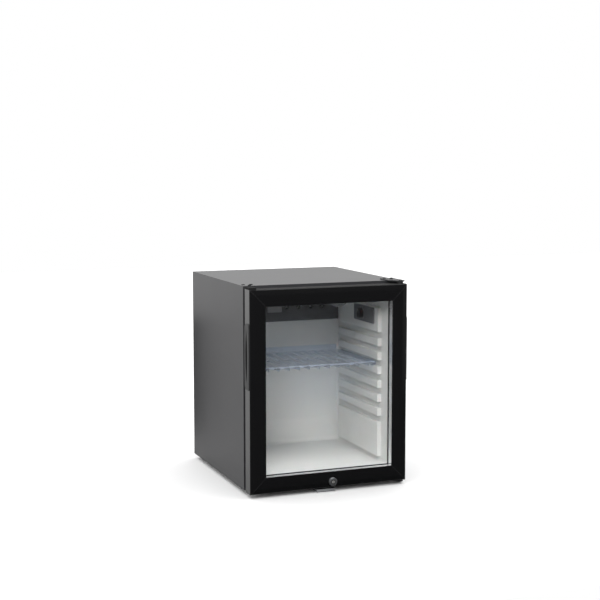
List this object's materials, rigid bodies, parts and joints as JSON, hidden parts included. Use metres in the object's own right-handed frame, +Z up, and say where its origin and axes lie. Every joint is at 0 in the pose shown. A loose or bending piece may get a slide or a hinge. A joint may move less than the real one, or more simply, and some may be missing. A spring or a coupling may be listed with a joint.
{
  "type": "minibar fridge",
  "caption": "Small upright fridge with a framed double-glazed door hinged on the right, a slide-out clear shelf, a cam lock and an absorption cooling unit behind.",
  "frame": {"origin": "on the floor under the middle of the whole fridge, feet and door included", "axes": "+Z up, -Y out of the glass door, +X to the viewer's right, where the door's hinges are"},
  "size_m": [0.4176, 0.4724, 0.5161],
  "materials": {
    "case_paint": "satin dark grey powder paint on sheet steel",
    "zinc_steel": "bright zinc-plated steel",
    "black_abs": "fine-grained black moulded plastic",
    "door_frame": "gloss black extruded frame",
    "liner_plastic": "vacuum-formed pale grey polystyrene",
    "cover_plastic": "moulded mid grey plastic",
    "clear_plastic": "clear moulded polystyrene",
    "lamp_diffuser": "opal diffuser",
    "circuit_board": "green solder mask",
    "float_glass": "clear float glass",
    "spacer_metal": "mill-finish aluminium section",
    "seal_rubber": "soft black PVC and butyl",
    "lock_chrome": "polished chrome plate",
    "unit_paint": "black stoving paint on steel tube",
    "wall_foam": "rigid polyurethane foam"
  },
  "bodies": {
    "cabinet": {"side_panel_left": "case_paint", "side_panel_right": "case_paint", "top_panel": "case_paint", "bottom_panel": "case_paint", "rear_panel": "case_paint", "hinge_plate_top": "zinc_steel", "hinge_plate_bottom": "zinc_steel", "hinge_pins": "zinc_steel", "fixing_screws": "zinc_steel", "lock_strike": "zinc_steel", "thermostat_body": "zinc_steel", "heating_element": "zinc_steel", "boiler_casing": "zinc_steel", "hinge_hole_plugs": "black_abs", "feet": "black_abs", "control_housing": "black_abs", "control_box": "black_abs", "cord_gland": "black_abs", "inner_liner": "liner_plastic", "sensor_clip": "liner_plastic", "drip_tray": "liner_plastic", "lamp_housing": "liner_plastic", "drain_tube": "liner_plastic", "drain_cup": "liner_plastic", "evaporator_cover": "cover_plastic", "lamp_lens": "lamp_diffuser", "led_board": "circuit_board", "evaporator_fins": "spacer_metal", "absorber_vessel": "unit_paint", "boiler_tube": "unit_paint", "condenser_tube": "unit_paint", "condenser_fins": "unit_paint", "evaporator_tube": "unit_paint", "gas_heat_exchanger": "unit_paint", "absorber_coil": "unit_paint", "solution_tube": "unit_paint", "unit_brackets": "unit_paint", "insulation_foam": "wall_foam"},
    "shelf": {"shelf": "clear_plastic"},
    "thermostat_knob": {"thermostat_knob": "black_abs"},
    "lock_plug": {"lock_plug": "lock_chrome", "lock_cam": "zinc_steel"},
    "door": {"door_rail_top": "door_frame", "door_rail_bottom": "door_frame", "door_stile_left": "door_frame", "door_stile_right": "door_frame", "corner_keys": "black_abs", "hinge_bushes": "liner_plastic", "door_corner_cap": "black_abs", "outer_glass": "float_glass", "inner_glass": "float_glass", "glazing_spacer": "spacer_metal", "glazing_seal": "seal_rubber", "inner_frame": "door_frame", "door_gasket": "seal_rubber", "gasket_magnets": "seal_rubber", "handle_grip_left": "black_abs", "handle_grip_right": "black_abs", "lock_barrel": "lock_chrome", "lock_nut": "zinc_steel"}
  },
  "joints": [
    {"name": "door_hinge", "type": "hinge", "parent": "cabinet", "child": "door", "pos_m": [0.195, -0.21275, 0.262], "axis": [0, 0, 1], "range_deg": [0, 110]},
    {"name": "lock_turn", "type": "hinge", "parent": "door", "child": "lock_plug", "pos_m": [0.0065, -0.22175, 0.0255], "axis": [0, -1, 0], "range_deg": [0, 90]},
    {"name": "thermostat_turn", "type": "hinge", "parent": "cabinet", "child": "thermostat_knob", "pos_m": [0.16, -0.04375, 0.4155], "axis": [1, 0, 0], "range_deg": [0, 270]},
    {"name": "shelf_slide", "type": "slide", "parent": "cabinet", "child": "shelf", "axis": [0, -1, 0], "range_m": [0, 0.06]}
  ]
}
